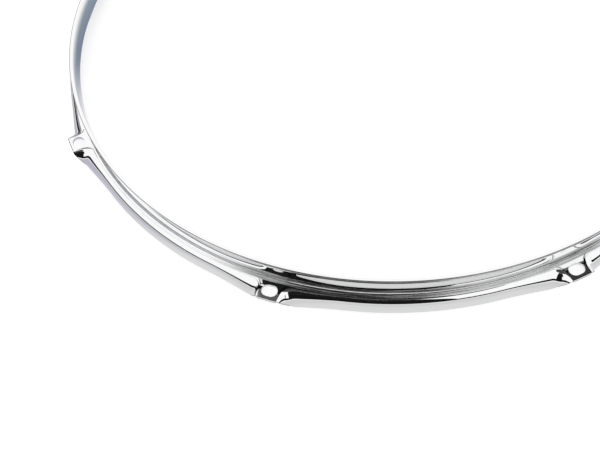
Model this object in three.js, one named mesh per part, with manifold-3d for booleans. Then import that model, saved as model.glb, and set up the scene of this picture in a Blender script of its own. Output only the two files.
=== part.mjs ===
// A pressed steel drum hoop, in millimetres, +Z up, with its axis on Z and its lower rim on z = 0.
// One strip is formed to a section of lip, wall, shelf and skirt, and a butt weld closes its ends.
// The section is swept round the hoop station by station and changes only where ears are pressed.

import * as THREE from "three";
import { mergeVertices } from "three/addons/utils/BufferGeometryUtils.js";
import Module from "manifold-3d";

const wasm = await Module();
wasm.setup();

// The strip
const sheetThickness = 1.7;
const halfSheet = sheetThickness / 2;

// The plain section, with radii from the axis of the hoop. The skirt sets the size of the hoop, and
// the wall stands inside it by the bend, the flat of the shelf and the inner corner.
const hoopHeight = 22.4;
const shelfTopHeight = 9.0;
const shelfFlatWidth = 0.35;
const skirtOuterRadius = 188.0;
const cornerInsideRadius = 1.5;
const skirtBendInsideRadius = 1.6;
const skirtBendMiddleRadius = skirtBendInsideRadius + halfSheet;
const bendStartRadius = skirtOuterRadius - halfSheet - skirtBendMiddleRadius;
const wallOuterRadius = bendStartRadius - shelfFlatWidth - cornerInsideRadius;
const lipBendRadius = 9.5;
const lipTurn = THREE.MathUtils.degToRad(30);

// The ears reach out past the skirt, and each has a slotted hole near its edge.
const earCount = 8;
const earReach = 7.65;
const earEdgeRadius = skirtOuterRadius + earReach;
const rodHoleLength = 7.9;
const rodHoleWidth = 6.1;
const rodHoleEdgeMargin = 2.6;
const rodHoleSideMargin = 0.85;
const rodHoleOverrun = 3.0;
const rodCircleRadius = earEdgeRadius - rodHoleEdgeMargin - rodHoleWidth / 2;
const earHalfFlat = rodHoleLength / 2 + rodHoleSideMargin;

// Beside its flat an ear falls back to the plain skirt in a short, steep shoulder and a long, shallow
// sweep, while the skirt's edge drops and the skirt turns about the ear's corner.
const sweepShare = 0.562;
const sweepReach = earReach * sweepShare;
const sweepRun = 31.0;
const sweepPower = 1.8;
const shoulderRun = 8.0;
const shoulderStartPower = 2.0;
const shoulderEndPower = 3.0;
const dropRun = 8.0;
const dropStartPower = 1.6;
const dropEndPower = 2.0;
const flankBendRadius = 8.0;
const twistTurn = THREE.MathUtils.degToRad(45);
const twistRun = 12.0;
const twistPower = 2.0;

// The weld, midway between two ears
const weldWidth = 3.0;
const weldBeadHeight = 0.3;
const weldGapIndex = 2;

// Steps of the faceted surfaces
const lipSteps = 2;
const cornerSteps = 2;
const skirtBendSteps = 3;
const flankSteps = 8;
const flankStepPower = 1.6;
const earCornerSteps = 2;
const plainSteps = 6;
const weldSteps = 4;
const rodHoleArcSteps = 6;
const capHalfAngle = Math.PI / 6;
const quarterTurn = Math.PI / 2;

// Places on the middle surface of the sheet
const wallMiddleRadius = wallOuterRadius - halfSheet;
const shelfMiddleHeight = shelfTopHeight - halfSheet;
const cornerMiddleRadius = cornerInsideRadius + halfSheet;
const skirtEndHeight = halfSheet * Math.cos(capHalfAngle);
const lipStartHeight = hoopHeight - halfSheet - lipBendRadius * Math.sin(lipTurn);
const skirtMiddleRadius = skirtOuterRadius - halfSheet;
const earTipRadius = earEdgeRadius - halfSheet;
const plainDrop = shelfMiddleHeight - skirtEndHeight;

const earPitch = (2 * Math.PI) / earCount;
const weldHalfAngle = weldWidth / 2 / skirtOuterRadius;

// A point of the middle surface. Points on the wall are placed by their radius, and points on the
// skirt by their distance in plan past its edge. The heading is the way down the section from the lip.
function middlePoint(onSkirt, distance, height, heading) {
  return { onSkirt, distance, height, heading };
}

// A profile says how the skirt leaves the shelf: how far its edge lies below the shelf, the largest
// radius of the bend, and the room in plan between the start of the bend and the edge.
const plainProfile = { drop: plainDrop, bend: skirtBendMiddleRadius, room: skirtBendMiddleRadius };
const flatProfile = { drop: 0, bend: flankBendRadius, room: 0 };

// The bend that fits a profile, with the length of the straight part below it.
function fittedBend({ drop, bend, room }) {
  let radius = bend;
  if (drop > room) radius = Math.min(bend, room);
  else if (drop > 0) radius = Math.min(bend, (room * room + drop * drop) / (2 * drop));
  const straight = Math.sqrt(Math.max(room * room + drop * drop - 2 * radius * drop, 0));
  const fullTurn = Math.atan2(room, radius - drop) - Math.atan2(straight, radius);
  return { radius, fullTurn, straight };
}

// The middle surface from the lip down to the skirt's edge.
function middleLine(profile) {
  const points = [];
  for (let i = 0; i <= lipSteps; i++) {
    const turn = lipTurn * (1 - i / lipSteps);
    const radius = wallMiddleRadius + lipBendRadius * (1 - Math.cos(turn));
    const height = lipStartHeight + lipBendRadius * Math.sin(turn);
    points.push(middlePoint(false, radius, height, -quarterTurn - turn));
  }
  for (let i = 0; i <= cornerSteps; i++) {
    const turn = (quarterTurn * i) / cornerSteps;
    const radius = wallMiddleRadius + cornerMiddleRadius * (1 - Math.cos(turn));
    const height = shelfMiddleHeight + cornerMiddleRadius * (1 - Math.sin(turn));
    points.push(middlePoint(false, radius, height, turn - quarterTurn));
  }
  const { radius, fullTurn, straight } = fittedBend(profile);
  for (let i = 0; i <= skirtBendSteps; i++) {
    const turn = (fullTurn * i) / skirtBendSteps;
    const distance = radius * Math.sin(turn) - profile.room;
    points.push(middlePoint(true, distance, shelfMiddleHeight - radius * (1 - Math.cos(turn)), -turn));
  }
  const bendEnd = points[points.length - 1];
  const edgeDistance = bendEnd.distance + straight * Math.cos(fullTurn);
  points.push(middlePoint(true, edgeDistance, shelfMiddleHeight - profile.drop, bendEnd.heading));
  return points;
}

// The closed outline of the sheet: along its outer side, round the skirt's edge, back along its
// inner side and round the lip.
function sectionOutline(profile, beadHeight = 0) {
  const line = middleLine(profile);
  const outline = [];
  const add = (point, angle, reach) => {
    outline.push({
      onSkirt: point.onSkirt,
      distance: point.distance + reach * Math.cos(angle),
      height: point.height + reach * Math.sin(angle),
    });
  };
  const first = line[0];
  const last = line[line.length - 1];
  line.forEach((point) => add(point, point.heading + quarterTurn, halfSheet));
  add(last, last.heading + capHalfAngle, halfSheet);
  add(last, last.heading - capHalfAngle, halfSheet);
  [...line].reverse().forEach((point) => {
    const onEdge = point === first || point === last;
    const reach = halfSheet + (onEdge ? 0 : beadHeight);
    add(point, point.heading - quarterTurn, reach);
  });
  add(first, first.heading + Math.PI + capHalfAngle, halfSheet);
  add(first, first.heading + Math.PI - capHalfAngle, halfSheet);
  return outline;
}

// A station is one section: its azimuth, the radius of the skirt's edge, the direction in which the
// skirt lies there in plan (0 is along the hoop, a quarter turn is straight out) and its profile.
function plainStation(azimuth) {
  return {
    azimuth,
    edgeRadius: skirtMiddleRadius,
    direction: quarterTurn,
    profile: plainProfile,
  };
}

// From 1 to 0 as a share goes from 0 to 1.
function falling(share, startPower, endPower) {
  return (1 - Math.min(share, 1) ** startPower) ** endPower;
}

// How far the edge reaches past the plain skirt, at a run along the hoop from the flat of the ear.
function flankReach(run) {
  const shoulder = falling(run / shoulderRun, shoulderStartPower, shoulderEndPower);
  return (earReach - sweepReach) * shoulder + sweepReach * falling(run / sweepRun, 1, sweepPower);
}

function flankDirection(run) {
  const slope = (sweepReach / sweepRun) * sweepPower * falling(run / sweepRun, 1, sweepPower - 1);
  return Math.atan2(1, slope) - twistTurn * falling(run / twistRun, 1, twistPower);
}

// The flank of an ear, from its flat (0) to the plain hoop (1). The skirt bends down to its edge over
// all the room it has from the flat and from the shelf.
function flankStation(earAzimuth, side, share) {
  const run = sweepRun * share ** flankStepPower;
  const edgeRadius = skirtMiddleRadius + flankReach(run);
  const outward = flankDirection(run);
  const roomFromShelf = (edgeRadius - bendStartRadius) / Math.sin(outward);
  const roomFromFlat = run / Math.cos(outward);
  const profile = {
    drop: plainDrop * (1 - falling(run / dropRun, dropStartPower, dropEndPower)),
    bend: skirtBendMiddleRadius + (flankBendRadius - skirtBendMiddleRadius) * (1 - share),
    room: (roomFromShelf * roomFromFlat) / Math.hypot(roomFromShelf, roomFromFlat),
  };
  return {
    azimuth: earAzimuth + (side * (earHalfFlat + run)) / rodCircleRadius,
    edgeRadius,
    direction: side > 0 ? outward : Math.PI - outward,
    profile,
  };
}

// The corner of an ear, where the skirt starts to turn from facing out.
function cornerStation(earAzimuth, side, share) {
  const start = flankDirection(0);
  const outward = start + (quarterTurn - start) * share;
  return {
    azimuth: earAzimuth + (side * earHalfFlat) / rodCircleRadius,
    edgeRadius: earTipRadius,
    direction: side > 0 ? outward : Math.PI - outward,
    profile: flatProfile,
  };
}

function earStations(earAzimuth) {
  const half = (side) => {
    const stations = [];
    for (let i = earCornerSteps; i > 0; i--)
      stations.push(cornerStation(earAzimuth, side, i / earCornerSteps));
    for (let i = 0; i <= flankSteps; i++) stations.push(flankStation(earAzimuth, side, i / flankSteps));
    return stations;
  };
  return [...half(-1).reverse(), ...half(1)];
}

// A point of a section, placed at its station.
function placedPoint(station, point) {
  const cos = Math.cos(station.azimuth);
  const sin = Math.sin(station.azimuth);
  const radial = point.onSkirt
    ? station.edgeRadius + point.distance * Math.sin(station.direction)
    : point.distance;
  const tangential = point.onSkirt ? point.distance * Math.cos(station.direction) : 0;
  return new THREE.Vector3(
    radial * cos - tangential * sin,
    radial * sin + tangential * cos,
    point.height,
  );
}

function placedSection(station, beadHeight) {
  return sectionOutline(station.profile, beadHeight).map((point) => placedPoint(station, point));
}

// A solid through sections that all have the same number of points, with flat ends.
function sweptSolid(sections) {
  const size = sections[0].length;
  const positions = sections.flat().flatMap((point) => point.toArray());
  const faces = [];
  for (let i = 0; i + 1 < sections.length; i++) {
    for (let j = 0; j < size; j++) {
      const here = i * size + j;
      const next = i * size + ((j + 1) % size);
      faces.push([here, next, here + size], [next, next + size, here + size]);
    }
  }
  const flatOutline = sections[0].map(
    (point) => new THREE.Vector2(Math.hypot(point.x, point.y), point.z),
  );
  const lastStart = (sections.length - 1) * size;
  THREE.ShapeUtils.triangulateShape(flatOutline, []).forEach(([a, b, c]) => {
    const clockwise = THREE.ShapeUtils.area([flatOutline[a], flatOutline[b], flatOutline[c]]) < 0;
    const [first, second] = clockwise ? [b, a] : [a, b];
    faces.push([first, second, c], [second + lastStart, first + lastStart, c + lastStart]);
  });
  return solidFrom(positions, faces);
}

// A manifold solid from points and faces, without the faces that shrink to a line where stations meet.
function solidFrom(positions, faces) {
  const geometry = new THREE.BufferGeometry();
  geometry.setAttribute("position", new THREE.Float32BufferAttribute(positions, 3));
  geometry.setIndex(faces.flat());
  const merged = mergeVertices(geometry);
  const corners = merged.index.array;
  const kept = [];
  for (let i = 0; i < corners.length; i += 3) {
    const [a, b, c] = corners.slice(i, i + 3);
    if (a !== b && b !== c && c !== a) kept.push(a, b, c);
  }
  return new wasm.Manifold(
    new wasm.Mesh({
      numProp: 3,
      vertProperties: merged.attributes.position.array,
      triVerts: new Uint32Array(kept),
    }),
  );
}

// A manifold solid of a closed three.js geometry.
function solidOf(geometry) {
  const bare = geometry.clone();
  bare.deleteAttribute("normal");
  bare.deleteAttribute("uv");
  const merged = mergeVertices(bare);
  return new wasm.Manifold(
    new wasm.Mesh({
      numProp: 3,
      vertProperties: merged.attributes.position.array,
      triVerts: new Uint32Array(merged.index.array),
    }),
  );
}

function geometryOf(solid) {
  const mesh = solid.getMesh();
  const geometry = new THREE.BufferGeometry();
  geometry.setAttribute("position", new THREE.BufferAttribute(mesh.vertProperties, 3));
  geometry.setIndex(new THREE.BufferAttribute(mesh.triVerts, 1));
  geometry.computeVertexNormals();
  return geometry;
}

// The slotted hole of one ear, with its length along the hoop, as a cutter that runs past both faces.
function rodHoleCutter(earAzimuth) {
  const endRadius = rodHoleWidth / 2;
  const halfStraight = rodHoleLength / 2 - endRadius;
  const outline = new THREE.Shape();
  outline.absarc(0, halfStraight, endRadius, 0, Math.PI, false);
  outline.absarc(0, -halfStraight, endRadius, Math.PI, 2 * Math.PI, false);
  outline.closePath();
  const depth = sheetThickness + 2 * rodHoleOverrun;
  const cutter = new THREE.ExtrudeGeometry(outline, {
    depth,
    bevelEnabled: false,
    curveSegments: rodHoleArcSteps,
  });
  cutter.translate(rodCircleRadius, 0, shelfTopHeight - sheetThickness - rodHoleOverrun);
  cutter.rotateZ(earAzimuth);
  return solidOf(cutter);
}

// The weld is midway between two ears, and the ears follow it round the hoop at an even pitch.
const weldAzimuth = earPitch * weldGapIndex;
const earAzimuths = Array.from({ length: earCount }, (_, i) => weldAzimuth + earPitch * (i + 1 / 2));

// The plain stations between two azimuths, without those at the ends.
function plainStations(from, to) {
  return Array.from({ length: plainSteps - 1 }, (_, i) =>
    plainStation(from + ((to - from) * (i + 1)) / plainSteps),
  );
}

function stripSolid() {
  const start = weldAzimuth + weldHalfAngle;
  const end = weldAzimuth + 2 * Math.PI - weldHalfAngle;
  const earHalfAngle = (earHalfFlat + sweepRun) / rodCircleRadius;
  const stations = [plainStation(start)];
  let reached = start;
  for (const earAzimuth of earAzimuths) {
    stations.push(...plainStations(reached, earAzimuth - earHalfAngle), ...earStations(earAzimuth));
    reached = earAzimuth + earHalfAngle;
  }
  stations.push(...plainStations(reached, end), plainStation(end));
  let strip = sweptSolid(stations.map((station) => placedSection(station)));
  for (const earAzimuth of earAzimuths) strip = strip.subtract(rodHoleCutter(earAzimuth));
  return strip;
}

// The weld fills the gap between the strip's ends, ground flush outside and left as a low bead inside.
function weldSolid() {
  const sections = [];
  for (let i = 0; i <= weldSteps; i++) {
    const share = (2 * i) / weldSteps - 1;
    const station = plainStation(weldAzimuth + weldHalfAngle * share);
    sections.push(placedSection(station, weldBeadHeight * (1 - share * share)));
  }
  return sweptSolid(sections);
}

const chrome = new THREE.MeshStandardMaterial({ color: 0xe6e9ec, metalness: 1, roughness: 0.06 });
const weldChrome = new THREE.MeshStandardMaterial({ color: 0xd6dade, metalness: 1, roughness: 0.18 });

const hoop = new THREE.Group();

function addPiece(name, solid, material) {
  const mesh = new THREE.Mesh(geometryOf(solid), material);
  mesh.name = name;
  hoop.add(mesh);
}

addPiece("hoop_strip", stripSolid(), chrome);
addPiece("weld_seam", weldSolid(), weldChrome);

export default hoop;
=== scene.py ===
import math

import bpy
from mathutils import Matrix, Vector
from mathutils.geometry import tessellate_polygon


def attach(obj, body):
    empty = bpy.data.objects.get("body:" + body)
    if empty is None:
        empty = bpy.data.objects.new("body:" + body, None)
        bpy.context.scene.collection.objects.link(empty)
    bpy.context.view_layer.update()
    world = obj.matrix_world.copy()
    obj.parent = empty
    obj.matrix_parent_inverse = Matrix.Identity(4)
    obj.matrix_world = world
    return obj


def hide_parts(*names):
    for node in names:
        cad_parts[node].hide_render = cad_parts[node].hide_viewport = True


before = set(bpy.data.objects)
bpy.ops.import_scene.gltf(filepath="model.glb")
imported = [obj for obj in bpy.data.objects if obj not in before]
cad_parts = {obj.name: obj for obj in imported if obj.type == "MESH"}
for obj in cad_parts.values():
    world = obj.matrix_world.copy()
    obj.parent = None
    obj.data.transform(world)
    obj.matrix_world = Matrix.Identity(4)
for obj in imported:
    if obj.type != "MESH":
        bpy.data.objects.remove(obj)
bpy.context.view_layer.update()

MM = 0.001
QUARTER_TURN = math.pi / 2

# The sheet and its plain section, as in the part
SHEET = 1.7 * MM
HALF_SHEET = SHEET / 2
HOOP_HEIGHT = 22.4 * MM
SHELF_TOP = 9.0 * MM
SHELF_FLAT = 0.35 * MM
SKIRT_OUTER = 188.0 * MM
CORNER_INSIDE = 1.5 * MM
SKIRT_BEND_INSIDE = 1.6 * MM
LIP_BEND = 9.5 * MM
LIP_TURN = math.radians(30)
LIP_TILT = math.radians(8)
LIP_INNER_ROUND = 0.15 * MM
LIP_OUTER_ROUND = 0.15 * MM
EDGE_ROUND = 0.3 * MM

# The ears
EAR_COUNT = 8
EAR_REACH = 7.65 * MM
HOLE_LENGTH = 7.9 * MM
HOLE_WIDTH = 6.1 * MM
HOLE_EDGE_MARGIN = 2.6 * MM
HOLE_ROUND = 0.15 * MM
EAR_HALF_FLAT = 4.8 * MM
SWEEP_REACH = 4.3 * MM
SWEEP_RUN = 31.0 * MM
SWEEP_POWER = 1.8
SHOULDER_RUN = 8.0 * MM
SHOULDER_START_POWER = 2.0
SHOULDER_END_POWER = 3.0
FLANK_BEND = 8.0 * MM
DROP_RUN = 8.0 * MM
DROP_START_POWER = 1.6
DROP_END_POWER = 2.0
TWIST = math.radians(45)
TWIST_RUN = 12.0 * MM
TWIST_POWER = 2.0
STEP_POWER = 1.6

# The weld
WELD_WIDTH = 3.0 * MM
WELD_BEAD = 0.3 * MM
WELD_AZIMUTH = math.pi / 2

# Steps of the fine mesh
LIP_STEPS = 6
CORNER_STEPS = 6
BEND_STEPS = 8
SKIRT_STEPS = 2
EDGE_STEPS = 4
FLANK_STEPS = 36
EAR_CORNER_STEPS = 6
EAR_FLAT_STEPS = 6
PLAIN_STEPS = 24
WELD_STEPS = 12
HOLE_ARC_STEPS = 16
HOLE_ROUND_STEPS = 4

# The finish: spots of unevenness per metre, and where the polish is poorer; that zone and a band
# along the outer corner of the lip also get painted shade in their base colour
CLOUD_SCALE = 60
WAVE_SCALE = 90
STREAK_ACROSS = 2400
STREAK_ALONG = 12
CORNER_START = (182.8 * MM, 183.2 * MM)
SHELF_END = (184.8 * MM, 185.4 * MM)
CORNER_HEIGHT = (9.2 * MM, 9.9 * MM)
STREAK_START = (math.radians(-126), math.radians(-114))
STREAK_LEVELS = (0.35, 0.65)
STREAK_ROUGHNESS = (0.2, 0.36)
# Painted shade: factors that darken the base colour in the streaked zone, on top of its rougher
# polish
STREAK_PAINTED_SHADE = (0.42, 0.85)
# Painted shade: a band along the outer corner of the cut lip where the base colour is darkened
RIM_RADIUS = (183.7 * MM, 184.0 * MM)
RIM_HEIGHT = (21.1 * MM, 21.5 * MM)
RIM_PAINTED_SHADE = 0.35

# The floor: what each stretch of it looks like to the camera, and the painted light and shade that
# the chrome sees on it
PAPER_COLOR = (0.72, 0.72, 0.72, 1)
PAPER_LIFT = 0.5
FLOOR_HALF = 4.0
FLOOR_LEVEL = -0.02 * MM
# Painted light seen only in the chrome: the floor's level rises far behind, just round the skirt and
# inside the ring
FAR_FLOOR_PAINTED_LIGHT = (0.25, 0.8, 0.65, 0.92)
NEAR_FLOOR_PAINTED_LIGHT = (188 * MM, 196 * MM, 0.08, 0.0)
INNER_PAINTED_LIGHT = (0.95, 0.95, 0.95, 1)
# Painted shadow: just inside the left wall the chrome sees the floor darker and bluer
INNER_PAINTED_SHADOW = (125 * MM, 190 * MM)
INNER_PAINTED_SHADOW_SIDE = (-120 * MM, -60 * MM)
INNER_PAINTED_SHADOW_DEPTH = (-60 * MM, 10 * MM)
INNER_PAINTED_SHADOW_COLOR = (0.12, 0.17, 0.25, 1)
# Painted shade: far to the left the chrome sees the floor near black
SIDE_PAINTED_SHADE = (-0.7, -0.35)
SIDE_PAINTED_SHADE_COLOR = (0.03, 0.03, 0.03, 1)
# Painted shade: outside the ring on the left the chrome sees the floor darker and lavender
OUTER_PAINTED_SHADE_SIDE = (-170 * MM, -110 * MM)
OUTER_PAINTED_SHADE_COLOR = (0.76, 0.75, 0.87, 1)

# The cards that only reflections see: distance, and (name, azimuths, elevations, level) in degrees
CARD_DISTANCE = 3.0
CARD_STEPS = 12
CARDS = (
    ("flag_horizon", (-180, 0), (6, 22), 0.008),
    ("flag_horizon_left", (110, 180), (6, 22), 0.008),
    ("flag_front", (-134, -75), (22, 45), 0.008),
    ("flag_front_high", (-145, -75), (45, 73), 0.012),
    ("flag_zenith", (-180, 180), (73, 90), 0.06),
    ("flag_far", (55, 80), (50, 73), 0.04),
    ("flag_far_middle", (80, 104), (53, 73), 0.11),
    ("flag_far_side", (35, 55), (38, 60), 0.04),
    ("flag_side", (-42, -32), (22, 50), 0.15),
    ("flag_back", (120, 150), (22, 35), 0.3),
)

# The camera that the photo's edges were fitted with: its axes, place and focal length in pixels
CAMERA_RIGHT = (0.99678106, -0.03953843, -0.06974406)
CAMERA_DOWN = (-0.07245922, -0.81658648, -0.57265713)
CAMERA_FORWARD = (-0.0343101, 0.57586738, -0.81682286)
CAMERA_PLACE = (-0.04153216, -0.39186225, 0.36807962)
CAMERA_FOCAL = 879.323
PICTURE_WIDTH = 600
SENSOR_WIDTH = 36

# Places on the middle surface of the sheet
BEND_MIDDLE = SKIRT_BEND_INSIDE + HALF_SHEET
BEND_START = SKIRT_OUTER - HALF_SHEET - BEND_MIDDLE
CORNER_MIDDLE = CORNER_INSIDE + HALF_SHEET
WALL_MIDDLE = BEND_START - SHELF_FLAT - CORNER_MIDDLE
SHELF_MIDDLE = SHELF_TOP - HALF_SHEET
LIP_CREST = HALF_SHEET * math.sin(LIP_TILT) / math.cos(LIP_TURN + LIP_TILT)
LIP_START = HOOP_HEIGHT - LIP_CREST - LIP_BEND * math.sin(LIP_TURN)
EAR_EDGE = SKIRT_OUTER + EAR_REACH
EAR_TIP = EAR_EDGE - HALF_SHEET
SKIRT_MIDDLE = SKIRT_OUTER - HALF_SHEET
HOLE_CIRCLE = EAR_EDGE - HOLE_EDGE_MARGIN - HOLE_WIDTH / 2
EAR_PITCH = 2 * math.pi / EAR_COUNT
EAR_HALF_ANGLE = (EAR_HALF_FLAT + SWEEP_RUN) / HOLE_CIRCLE
WELD_HALF_ANGLE = WELD_WIDTH / 2 / SKIRT_OUTER
EAR_AZIMUTHS = [WELD_AZIMUTH + EAR_PITCH * (i + 0.5) for i in range(EAR_COUNT)]


# A profile is (drop, bend, room): how far the edge of the skirt lies below the shelf, the largest
# radius at which the sheet bends down to it, and the width in plan over which it may do so.
PLAIN_PROFILE = (SHELF_MIDDLE, BEND_MIDDLE, BEND_MIDDLE)
FLAT_PROFILE = (0.0, FLANK_BEND, 0.0)


# The bend radius that fits, the turn, and the length of the straight part below the bend
def fitted_bend(drop, bend, room):
    if drop > room:
        bend = min(bend, room)
    elif drop > 0:
        bend = min(bend, (room * room + drop * drop) / (2 * drop))
    straight = math.sqrt(max(room * room + drop * drop - 2 * bend * drop, 0))
    turn = math.atan2(room, bend - drop) - math.atan2(straight, bend)
    return bend, turn, straight


# A point of the middle surface is (on the skirt or not, distance, height, heading). On the skirt the
# distance is taken from its edge in plan, and elsewhere from the axis.
def middle_line(profile):
    points = []
    for i in range(LIP_STEPS + 1):
        turn = LIP_TURN * (1 - i / LIP_STEPS)
        radius = WALL_MIDDLE + LIP_BEND * (1 - math.cos(turn))
        points.append((False, radius, LIP_START + LIP_BEND * math.sin(turn), -QUARTER_TURN - turn))
    for i in range(CORNER_STEPS + 1):
        turn = QUARTER_TURN * i / CORNER_STEPS
        radius = WALL_MIDDLE + CORNER_MIDDLE * (1 - math.cos(turn))
        height = SHELF_MIDDLE + CORNER_MIDDLE * (1 - math.sin(turn))
        points.append((False, radius, height, turn - QUARTER_TURN))
    bend, full_turn, straight = fitted_bend(*profile)
    for i in range(BEND_STEPS + 1):
        turn = full_turn * i / BEND_STEPS
        distance = bend * math.sin(turn) - profile[2]
        points.append((True, distance, SHELF_MIDDLE - bend * (1 - math.cos(turn)), -turn))
    _, distance, height, _ = points[-1]
    for i in range(1, SKIRT_STEPS + 1):
        reach = straight * i / SKIRT_STEPS
        points.append((
            True,
            distance + reach * math.cos(full_turn),
            height - reach * math.sin(full_turn),
            -full_turn,
        ))
    return points


# The closed outline of the sheet, as (on the skirt or not, distance, height, angle of the surface).
def section_outline(profile, bead=0.0):
    line = middle_line(profile)
    outline = []

    def add(point, angle, reach=HALF_SHEET):
        on_skirt, distance, height, _ = point
        outline.append(
            (on_skirt, distance + reach * math.cos(angle), height + reach * math.sin(angle), angle)
        )

    # A cut edge faces heading + lean, and its corners are round: the left one, then the right one.
    def add_edge(point, heading, lean, rounds):
        on_skirt, distance, height, _ = point
        for side, radius in zip((1, -1), rounds):
            across = side * (HALF_SHEET - radius)
            along = (-radius - across * math.sin(lean)) / math.cos(lean)
            turns = (QUARTER_TURN, lean) if side > 0 else (lean, -QUARTER_TURN)
            for i in range(EDGE_STEPS + 1):
                turn = turns[0] + (turns[1] - turns[0]) * i / EDGE_STEPS
                forward = along + radius * math.cos(turn)
                left = across + radius * math.sin(turn)
                outline.append((
                    on_skirt,
                    distance + forward * math.cos(heading) - left * math.sin(heading),
                    height + forward * math.sin(heading) + left * math.cos(heading),
                    heading + turn,
                ))

    first, last = line[0], line[-1]
    for point in line[1:-1]:
        add(point, point[3] + QUARTER_TURN)
    add_edge(last, last[3], 0, (EDGE_ROUND, EDGE_ROUND))
    for point in line[-2:0:-1]:
        add(point, point[3] - QUARTER_TURN, HALF_SHEET + bead)
    add_edge(first, first[3] + math.pi, LIP_TURN + LIP_TILT, (LIP_INNER_ROUND, LIP_OUTER_ROUND))
    return outline


# A station is (azimuth, radius of the skirt's edge, plan direction of the skirt, profile).
def plain_station(azimuth):
    return (azimuth, SKIRT_MIDDLE, QUARTER_TURN, PLAIN_PROFILE)


# From 1 to 0 as a share goes from 0 to 1, with a soft start and a soft end
def falling(share, start_power, end_power):
    return (1 - min(share, 1) ** start_power) ** end_power


# How far the edge reaches out of the plain skirt, at a run from the flat of the ear
def flank_reach(run):
    shoulder = falling(run / SHOULDER_RUN, SHOULDER_START_POWER, SHOULDER_END_POWER)
    sweep = falling(run / SWEEP_RUN, 1, SWEEP_POWER)
    return (EAR_REACH - SWEEP_REACH) * shoulder + SWEEP_REACH * sweep


# The plan direction of the skirt, which turns about the corner of the ear
def flank_direction(run):
    slope = SWEEP_REACH / SWEEP_RUN * SWEEP_POWER * falling(run / SWEEP_RUN, 1, SWEEP_POWER - 1)
    return math.atan2(1, slope) - TWIST * falling(run / TWIST_RUN, 1, TWIST_POWER)


# The flank of an ear, from its flat (0) to the plain hoop (1). The skirt bends down to its edge over
# all the room it has from the flat and from the shelf.
def flank_station(ear, side, share):
    run = SWEEP_RUN * share**STEP_POWER
    edge = SKIRT_MIDDLE + flank_reach(run)
    outward = flank_direction(run)
    drop = SHELF_MIDDLE * (1 - falling(run / DROP_RUN, DROP_START_POWER, DROP_END_POWER))
    bend = BEND_MIDDLE + (FLANK_BEND - BEND_MIDDLE) * (1 - share)
    from_shelf = (edge - BEND_START) / math.sin(outward)
    from_flat = run / math.cos(outward)
    room = from_shelf * from_flat / math.hypot(from_shelf, from_flat)
    return (
        ear + side * (EAR_HALF_FLAT + run) / HOLE_CIRCLE,
        edge,
        outward if side > 0 else math.pi - outward,
        (drop, bend, room),
    )


def corner_station(ear, side, share):
    start = flank_direction(0)
    outward = start + (QUARTER_TURN - start) * share
    azimuth = ear + side * EAR_HALF_FLAT / HOLE_CIRCLE
    return (azimuth, EAR_TIP, outward if side > 0 else math.pi - outward, FLAT_PROFILE)


def ear_side(ear, side):
    shares = [i / EAR_CORNER_STEPS for i in range(EAR_CORNER_STEPS, 0, -1)]
    corners = [corner_station(ear, side, share) for share in shares]
    return corners + [flank_station(ear, side, i / FLANK_STEPS) for i in range(FLANK_STEPS + 1)]


def between(start, end, steps):
    return [start + (end - start) * i / steps for i in range(1, steps)]


# The stations of the strip, and the index of the station where each ear's flat starts
def strip_stations():
    start = WELD_AZIMUTH + WELD_HALF_ANGLE
    end = WELD_AZIMUTH + 2 * math.pi - WELD_HALF_ANGLE
    half_flat = EAR_HALF_FLAT / HOLE_CIRCLE
    stations = [plain_station(start)]
    flat_starts = []
    reached = start
    for ear in EAR_AZIMUTHS:
        stations += [plain_station(a) for a in between(reached, ear - EAR_HALF_ANGLE, PLAIN_STEPS)]
        stations += reversed(ear_side(ear, -1))
        flat_starts.append(len(stations) - 1)
        for azimuth in between(ear - half_flat, ear + half_flat, EAR_FLAT_STEPS):
            stations.append((azimuth, EAR_TIP, QUARTER_TURN, FLAT_PROFILE))
        stations += ear_side(ear, 1)
        reached = ear + EAR_HALF_ANGLE
    stations += [plain_station(a) for a in between(reached, end, PLAIN_STEPS)]
    stations.append(plain_station(end))
    return stations, flat_starts


# A direction or a place in a section, turned to the section's azimuth
def turned(azimuth, radial, tangential, height):
    cos, sin = math.cos(azimuth), math.sin(azimuth)
    return Vector((radial * cos - tangential * sin, radial * sin + tangential * cos, height))


# A point of a section at its station, with the direction its surface faces and the way on round it
def placed(station, point):
    azimuth, edge, direction, _ = station
    on_skirt, distance, height, angle = point
    out, along, start = 1.0, 0.0, 0.0
    if on_skirt:
        out, along, start = math.sin(direction), math.cos(direction), edge
    place = turned(azimuth, start + distance * out, distance * along, height)
    cos, sin = math.cos(angle), math.sin(angle)
    facing = turned(azimuth, cos * out, cos * along, sin)
    onward = turned(azimuth, -sin * out, -sin * along, cos)
    return place, facing, onward


# The points of all sections, each with the normal of the surface swept through them
def swept(sections):
    rows = []
    for i, section in enumerate(sections):
        before, after = sections[max(i - 1, 0)], sections[min(i + 1, len(sections) - 1)]
        row = []
        for j, (place, facing, onward) in enumerate(section):
            normal = onward.cross(after[j][0] - before[j][0])
            if normal.length < MM / 100:
                normal = facing
            if normal.dot(facing) < 0:
                normal = -normal
            row.append((place, normal.normalized()))
        rows.append(row)
    return rows


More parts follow.
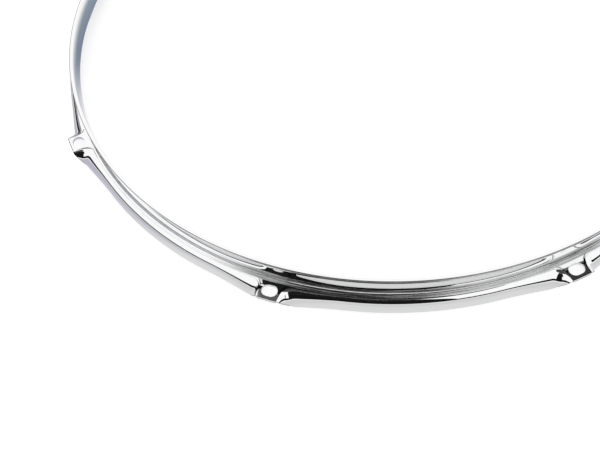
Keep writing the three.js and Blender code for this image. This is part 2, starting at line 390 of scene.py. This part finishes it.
# A mesh under construction: corners at one place share a vertex, and each keeps its own normal.
class Shell:
    def __init__(self):
        self.places = []
        self.index = {}
        self.faces = []
        self.normals = []

    def vertex(self, place):
        key = tuple(round(value / (MM / 10000)) for value in place)
        if key not in self.index:
            self.index[key] = len(self.places)
            self.places.append(place)
        return self.index[key]

    def face(self, corners):
        face, normals = [], []
        for place, normal in corners:
            vertex = self.vertex(place)
            if vertex not in face:
                face.append(vertex)
                normals.append(normal)
        if len(face) > 2:
            self.faces.append(face)
            self.normals += normals

    def object(self, name, material):
        mesh = bpy.data.meshes.new(name)
        mesh.from_pydata(self.places, [], self.faces)
        mesh.polygons.foreach_set("use_smooth", [True] * len(mesh.polygons))
        mesh.normals_split_custom_set([normal.normalized() for normal in self.normals])
        mesh.materials.append(material)
        made = bpy.data.objects.new(name, mesh)
        bpy.context.scene.collection.objects.link(made)
        return made


# Flat fill of an outline, with holes, whose corners all face the same way
def fill(shell, loops, normal):
    corners = [place for loop in loops for place in loop]
    for triangle in tessellate_polygon(loops):
        a, b, c = (corners[i] for i in triangle)
        if (b - a).cross(c - a).dot(normal) < 0:
            b, c = c, b
        shell.face([(a, normal), (b, normal), (c, normal)])


def end_cap(shell, section, azimuth, facing):
    normal = facing * Vector((-math.sin(azimuth), math.cos(azimuth), 0))
    fill(shell, [[place for place, _ in section]], normal)


# The slotted hole as rings of (place, normal), one at each step from the shelf's top to its underside
def hole_rings(ear):
    end_radius = HOLE_WIDTH / 2
    half_straight = HOLE_LENGTH / 2 - end_radius
    across = Vector((math.cos(ear), math.sin(ear), 0))
    along = Vector((-math.sin(ear), math.cos(ear), 0))
    outline = []
    for side in (1, -1):
        for i in range(HOLE_ARC_STEPS + 1):
            turn = math.pi * i / HOLE_ARC_STEPS
            outward = side * (across * math.cos(turn) + along * math.sin(turn))
            centre = across * HOLE_CIRCLE + along * (side * half_straight)
            outline.append((centre + outward * end_radius, outward))
    profile = []
    for i in range(HOLE_ROUND_STEPS + 1):
        turn = QUARTER_TURN * i / HOLE_ROUND_STEPS
        profile.append((HOLE_ROUND * (1 - math.sin(turn)), HOLE_ROUND * (1 - math.cos(turn)), turn))
    bottom = [(offset, SHEET - depth, math.pi - turn) for offset, depth, turn in reversed(profile)]
    up = Vector((0, 0, 1))
    rings = []
    for offset, depth, turn in profile + bottom:
        rings.append([
            (
                place + outward * offset + up * (SHELF_TOP - depth),
                up * math.cos(turn) - outward * math.sin(turn),
            )
            for place, outward in outline
        ])
    return rings


def make_strip(material):
    stations, flat_starts = strip_stations()
    sections = swept([[placed(s, point) for point in section_outline(s[3])] for s in stations])
    size = len(sections[0])
    line_points = LIP_STEPS + CORNER_STEPS + BEND_STEPS + SKIRT_STEPS + 3
    top = LIP_STEPS + CORNER_STEPS
    bottom = 2 * (line_points - 2) + 2 * (EDGE_STEPS + 1) - 2 - top
    flats = {start + i for start in flat_starts for i in range(EAR_FLAT_STEPS)}
    shell = Shell()
    for i in range(len(sections) - 1):
        for j in range(size):
            if i in flats and j in (top, bottom):
                continue
            k = (j + 1) % size
            shell.face([sections[i][j], sections[i][k], sections[i + 1][k], sections[i + 1][j]])
    up = Vector((0, 0, 1))
    for ear, start in zip(EAR_AZIMUTHS, flat_starts):
        span = range(start, start + EAR_FLAT_STEPS + 1)
        rings = hole_rings(ear)
        for j, ring, normal in ((top, rings[0], up), (bottom, rings[-1], -up)):
            near = [sections[i][j][0] for i in span]
            far = [sections[i][j + 1][0] for i in span]
            fill(shell, [near + far[::-1], [place for place, _ in ring]], normal)
        for upper, lower in zip(rings, rings[1:]):
            for i in range(len(upper)):
                k = (i + 1) % len(upper)
                shell.face([upper[i], upper[k], lower[k], lower[i]])
    end_cap(shell, sections[0], stations[0][0], -1)
    end_cap(shell, sections[-1], stations[-1][0], 1)
    return shell.object("chromed_strip", material)


def make_weld(material):
    sections = []
    for i in range(WELD_STEPS + 1):
        share = 2 * i / WELD_STEPS - 1
        station = plain_station(WELD_AZIMUTH + WELD_HALF_ANGLE * share)
        bead = WELD_BEAD * (1 - share * share)
        sections.append([placed(station, point) for point in section_outline(PLAIN_PROFILE, bead)])
    sections = swept(sections)
    size = len(sections[0])
    shell = Shell()
    for i in range(WELD_STEPS):
        for j in range(size):
            k = (j + 1) % size
            shell.face([sections[i][j], sections[i][k], sections[i + 1][k], sections[i + 1][j]])
    end_cap(shell, sections[0], WELD_AZIMUTH - WELD_HALF_ANGLE, -1)
    end_cap(shell, sections[-1], WELD_AZIMUTH + WELD_HALF_ANGLE, 1)
    return shell.object("ground_weld", material)


class Nodes:
    def __init__(self, material):
        material.use_nodes = True
        self.tree = material.node_tree
        self.tree.nodes.clear()

    def add(self, kind, **values):
        node = self.tree.nodes.new(kind)
        for key, value in values.items():
            setattr(node, key, value)
        return node

    # Sets an input to a number or a colour, or joins it to another node's output
    def put(self, socket, value):
        if isinstance(value, bpy.types.NodeSocket):
            self.tree.links.new(value, socket)
        else:
            socket.default_value = value

    def math(self, operation, *values):
        node = self.add("ShaderNodeMath", operation=operation)
        for socket, value in zip(node.inputs, values):
            self.put(socket, value)
        return node.outputs[0]

    # A smooth step of a value from one level to another
    def step(self, value, start, end, low=0.0, high=1.0):
        node = self.add("ShaderNodeMapRange", interpolation_type="SMOOTHSTEP")
        for socket, number in zip(node.inputs, (value, start, end, low, high)):
            self.put(socket, number)
        return node.outputs[0]

    # A colour mixed with a second by a share
    def mixed(self, kind, share, color, second):
        node = self.add("ShaderNodeMix", data_type="RGBA", blend_type=kind)
        for i, value in ((0, share), (6, color), (7, second)):
            self.put(node.inputs[i], value)
        return node.outputs[2]

    def noise(self, vector, scale, detail):
        node = self.add("ShaderNodeTexNoise")
        self.put(node.inputs["Vector"], vector)
        self.put(node.inputs["Scale"], scale)
        self.put(node.inputs["Detail"], detail)
        return node.outputs[0]

    # The place on the hoop: its coordinates, its distance from the axis and its azimuth
    def place(self):
        place = self.add("ShaderNodeTexCoord").outputs["Object"]
        split = self.add("ShaderNodeSeparateXYZ")
        self.put(split.inputs[0], place)
        x, y, z = split.outputs
        squares = self.math("ADD", self.math("MULTIPLY", x, x), self.math("MULTIPLY", y, y))
        return place, (x, y, z), self.math("SQRT", squares), self.math("ARCTAN2", y, x)


def bumped(nodes, height, distance):
    bump = nodes.add("ShaderNodeBump")
    nodes.put(bump.inputs["Strength"], 1.0)
    nodes.put(bump.inputs["Distance"], distance)
    nodes.put(bump.inputs["Height"], height)
    return bump.outputs[0]


# Chrome, less polished and streaked along the hoop where the corner of the shelf was hard to reach,
# with painted shade darkening the base colour in that zone and along the outer corner of the cut lip
def chrome(name, color, roughness, waviness, streaked):
    material = bpy.data.materials.new(name)
    nodes = Nodes(material)
    place, (_, _, height), radius, azimuth = nodes.place()
    cloud = nodes.noise(place, CLOUD_SCALE, 3)
    polish = nodes.step(cloud, 0, 1, *roughness)
    lengthwise = nodes.add("ShaderNodeCombineXYZ")
    nodes.put(lengthwise.inputs[0], nodes.math("MULTIPLY", radius, STREAK_ACROSS))
    nodes.put(lengthwise.inputs[1], nodes.math("MULTIPLY", azimuth, STREAK_ALONG))
    nodes.put(lengthwise.inputs[2], nodes.math("MULTIPLY", height, STREAK_ACROSS))
    streak = nodes.noise(lengthwise.outputs[0], 1, 2)
    zone = nodes.step(radius, *CORNER_START)
    zone = nodes.math("MULTIPLY", zone, nodes.step(radius, *SHELF_END, 1, 0))
    zone = nodes.math("MULTIPLY", zone, nodes.step(height, *CORNER_HEIGHT, 1, 0))
    zone = nodes.math("MULTIPLY", zone, nodes.step(azimuth, *STREAK_START))
    zone = nodes.math("MULTIPLY", zone, streaked)
    rough = nodes.step(streak, *STREAK_LEVELS, *STREAK_ROUGHNESS)
    # Painted shade: the streaked zone's base colour is darkened by these factors
    painted_streak_shade = nodes.step(streak, *STREAK_LEVELS, *STREAK_PAINTED_SHADE)
    shader = nodes.add("ShaderNodeBsdfPrincipled")
    blend = nodes.add("ShaderNodeMix", data_type="FLOAT")
    nodes.put(blend.inputs[0], zone)
    nodes.put(blend.inputs[2], polish)
    nodes.put(blend.inputs[3], rough)
    # Painted shade: the base colour is darkened in a band along the outer corner of the cut lip
    rim = nodes.math("MULTIPLY", nodes.step(radius, *RIM_RADIUS), nodes.step(height, *RIM_HEIGHT))
    # The base colour with painted shade in the streaked zone and along the lip's outer corner
    painted_shade_color = nodes.mixed("MULTIPLY", zone, (*color, 1), painted_streak_shade)
    painted_shade_color = nodes.mixed("MULTIPLY", rim, painted_shade_color, (RIM_PAINTED_SHADE, RIM_PAINTED_SHADE, RIM_PAINTED_SHADE, 1))
    nodes.put(shader.inputs["Base Color"], painted_shade_color)
    nodes.put(shader.inputs["Metallic"], 1.0)
    nodes.put(shader.inputs["Roughness"], blend.outputs[0])
    nodes.put(shader.inputs["Normal"], bumped(nodes, nodes.noise(place, WAVE_SCALE, 1), waviness))
    nodes.put(nodes.add("ShaderNodeOutputMaterial").inputs[0], shader.outputs[0])
    return material


def make_camera():
    down, forward = Vector(CAMERA_DOWN), Vector(CAMERA_FORWARD)
    turn = Matrix((CAMERA_RIGHT, -down, -forward)).transposed().to_4x4()
    data = bpy.data.cameras.new("camera")
    data.sensor_width = SENSOR_WIDTH
    data.lens = CAMERA_FOCAL * SENSOR_WIDTH / PICTURE_WIDTH
    data.clip_start = 0.01
    data.clip_end = 50
    camera = bpy.data.objects.new("camera", data)
    camera.matrix_world = Matrix.Translation(CAMERA_PLACE) @ turn
    bpy.context.scene.collection.objects.link(camera)
    bpy.context.scene.camera = camera


# Pale paper that keeps the hoop's shadow. The camera sees it lifted to white, and the chrome sees
# painted light and shade on it instead: paler far behind, round the skirt and inside the ring, a
# painted shadow darker and bluer just inside the left wall, painted lavender shade outside on the
# left, and painted near-black shade far to the left.
def make_floor():
    material = bpy.data.materials.new("floor_paper")
    nodes = Nodes(material)
    _, (x, y, _), radius, _ = nodes.place()
    path = nodes.add("ShaderNodeLightPath")
    paper = nodes.add("ShaderNodeBsdfDiffuse")
    nodes.put(paper.inputs["Color"], PAPER_COLOR)
    lift = nodes.add("ShaderNodeEmission")
    lifted = nodes.math("MULTIPLY", path.outputs["Is Camera Ray"], PAPER_LIFT)
    nodes.put(lift.inputs["Strength"], lifted)
    lit = nodes.add("ShaderNodeAddShader")
    nodes.put(lit.inputs[0], paper.outputs[0])
    nodes.put(lit.inputs[1], lift.outputs[0])
    # Painted light: the level the chrome sees rises far behind, round the skirt and inside the ring
    level = nodes.math("ADD", nodes.step(y, *FAR_FLOOR_PAINTED_LIGHT), nodes.step(radius, *NEAR_FLOOR_PAINTED_LIGHT))
    inside = nodes.math("LESS_THAN", radius, WALL_MIDDLE)
    # Painted shadow of the left wall on the floor, seen only in the chrome
    inner = nodes.math("MULTIPLY", nodes.step(radius, *INNER_PAINTED_SHADOW), inside)
    inner = nodes.math("MULTIPLY", inner, nodes.step(x, *INNER_PAINTED_SHADOW_SIDE, 1, 0))
    inner = nodes.math("MULTIPLY", inner, nodes.step(y, *INNER_PAINTED_SHADOW_DEPTH))
    # Painted lavender shade on the floor outside the ring on the left, seen only in the chrome
    outer = nodes.math("SUBTRACT", 1, inside)
    outer = nodes.math("MULTIPLY", outer, nodes.step(x, *OUTER_PAINTED_SHADE_SIDE, 1, 0))
    color = nodes.mixed("MIX", inside, level, INNER_PAINTED_LIGHT)
    color = nodes.mixed("MIX", inner, color, INNER_PAINTED_SHADOW_COLOR)
    color = nodes.mixed("MULTIPLY", outer, color, OUTER_PAINTED_SHADE_COLOR)
    # Painted near-black shade on the floor far to the left, seen only in the chrome
    color = nodes.mixed("MIX", nodes.step(x, *SIDE_PAINTED_SHADE, 1, 0), color, SIDE_PAINTED_SHADE_COLOR)
    seen = nodes.add("ShaderNodeEmission")
    nodes.put(seen.inputs["Color"], color)
    choice = nodes.add("ShaderNodeMixShader")
    nodes.put(choice.inputs[0], path.outputs["Is Glossy Ray"])
    nodes.put(choice.inputs[1], lit.outputs[0])
    nodes.put(choice.inputs[2], seen.outputs[0])
    nodes.put(nodes.add("ShaderNodeOutputMaterial").inputs[0], choice.outputs[0])
    mesh = bpy.data.meshes.new("floor")
    signs = ((-1, -1), (1, -1), (1, 1), (-1, 1))
    corners = [(i * FLOOR_HALF, j * FLOOR_HALF, FLOOR_LEVEL) for i, j in signs]
    mesh.from_pydata(corners, [], [(0, 1, 2, 3)])
    mesh.materials.append(material)
    floor = bpy.data.objects.new("floor", mesh)
    bpy.context.scene.collection.objects.link(floor)


# A studio flag or reflector: a patch of a wide dome, seen only in reflections
def make_card(name, azimuths, elevations, level):
    material = bpy.data.materials.new(name)
    nodes = Nodes(material)
    glow = nodes.add("ShaderNodeEmission")
    nodes.put(glow.inputs["Color"], (level, level, level, 1))
    nodes.put(nodes.add("ShaderNodeOutputMaterial").inputs[0], glow.outputs[0])
    corners = []
    for i in range(CARD_STEPS + 1):
        azimuth = math.radians(azimuths[0] + (azimuths[1] - azimuths[0]) * i / CARD_STEPS)
        for j in range(CARD_STEPS + 1):
            share = j / CARD_STEPS
            elevation = math.radians(elevations[0] + (elevations[1] - elevations[0]) * share)
            flat = CARD_DISTANCE * math.cos(elevation)
            corners.append(turned(azimuth, flat, 0, CARD_DISTANCE * math.sin(elevation)))
    faces = []
    for i in range(CARD_STEPS):
        for j in range(CARD_STEPS):
            here = i * (CARD_STEPS + 1) + j
            faces.append((here, here + 1, here + CARD_STEPS + 2, here + CARD_STEPS + 1))
    mesh = bpy.data.meshes.new(name)
    mesh.from_pydata(corners, [], faces)
    mesh.materials.append(material)
    card = bpy.data.objects.new(name, mesh)
    bpy.context.scene.collection.objects.link(card)
    card.visible_camera = False
    card.visible_diffuse = False
    card.visible_shadow = False


def make_world():
    world = bpy.data.worlds.new("studio")
    bpy.context.scene.world = world
    nodes = Nodes(world)
    back = nodes.add("ShaderNodeBackground")
    nodes.put(back.inputs["Color"], (1, 1, 1, 1))
    nodes.put(back.inputs["Strength"], 1.0)
    nodes.put(nodes.add("ShaderNodeOutputWorld").inputs[0], back.outputs[0])


scene = bpy.context.scene
scene.view_settings.view_transform = "Standard"

strip_chrome = chrome("bright_chrome", (0.95, 0.952, 0.956), (0.01, 0.03), 0.004 * MM, 1)
weld_chrome = chrome("ground_chrome", (0.84, 0.845, 0.85), (0.12, 0.25), 0.02 * MM, 0)

strip = make_strip(strip_chrome)
weld = make_weld(weld_chrome)
for piece, node, slot in ((strip, "hoop_strip", "strip_chrome"), (weld, "weld_seam", "weld_chrome")):
    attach(piece, "root")
    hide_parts(node)

make_camera()
make_floor()
make_world()
for card in CARDS:
    make_card(*card)
